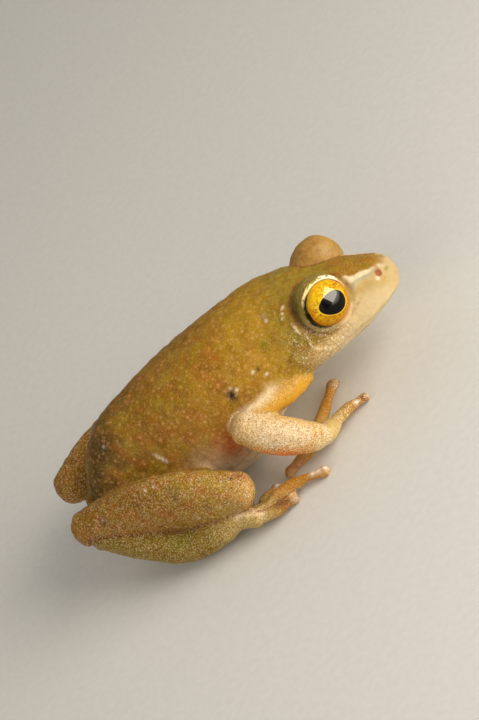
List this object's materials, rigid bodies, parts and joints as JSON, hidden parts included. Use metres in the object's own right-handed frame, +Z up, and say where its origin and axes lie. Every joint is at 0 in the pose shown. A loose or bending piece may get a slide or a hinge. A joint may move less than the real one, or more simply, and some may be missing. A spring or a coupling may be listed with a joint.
{
  "type": "painted reed frog",
  "caption": "Small tree frog sitting low with folded legs, spread fingers and toes with round tips, large side eyes and a short rounded snout, as a still life-size model.",
  "frame": {"origin": "middle of the base of the object's box, on the plane the frog sits on", "axes": "+X where the frog heads, +Y its left side, +Z up"},
  "size_m": [0.0332, 0.0218, 0.012],
  "materials": {
    "skin": "moist grainy skin, satin",
    "throat": "moist pale skin, satin",
    "limb": "moist speckled skin, satin",
    "digit": "thin moist skin, satin",
    "eye": "wet clear eye, glossy"
  },
  "bodies": {
    "root": {"eye_left": "eye", "eye_right": "eye", "finger_1_left": "digit", "finger_1_right": "digit", "finger_2_left": "digit", "finger_2_right": "digit", "finger_3_left": "digit", "finger_3_right": "digit", "finger_4_left": "digit", "finger_4_right": "digit", "foot_left": "limb", "foot_right": "limb", "forearm_left": "limb", "forearm_right": "limb", "hand_left": "limb", "hand_right": "limb", "head": "skin", "lower_jaw": "throat", "shank_left": "limb", "shank_right": "limb", "thigh_left": "limb", "thigh_right": "limb", "toe_1_left": "digit", "toe_1_right": "digit", "toe_2_left": "digit", "toe_2_right": "digit", "toe_3_left": "digit", "toe_3_right": "digit", "toe_4_left": "digit", "toe_4_right": "digit", "toe_5_left": "digit", "toe_5_right": "digit", "torso": "skin", "upper_arm_left": "limb", "upper_arm_right": "limb"}
  },
  "joints": []
}
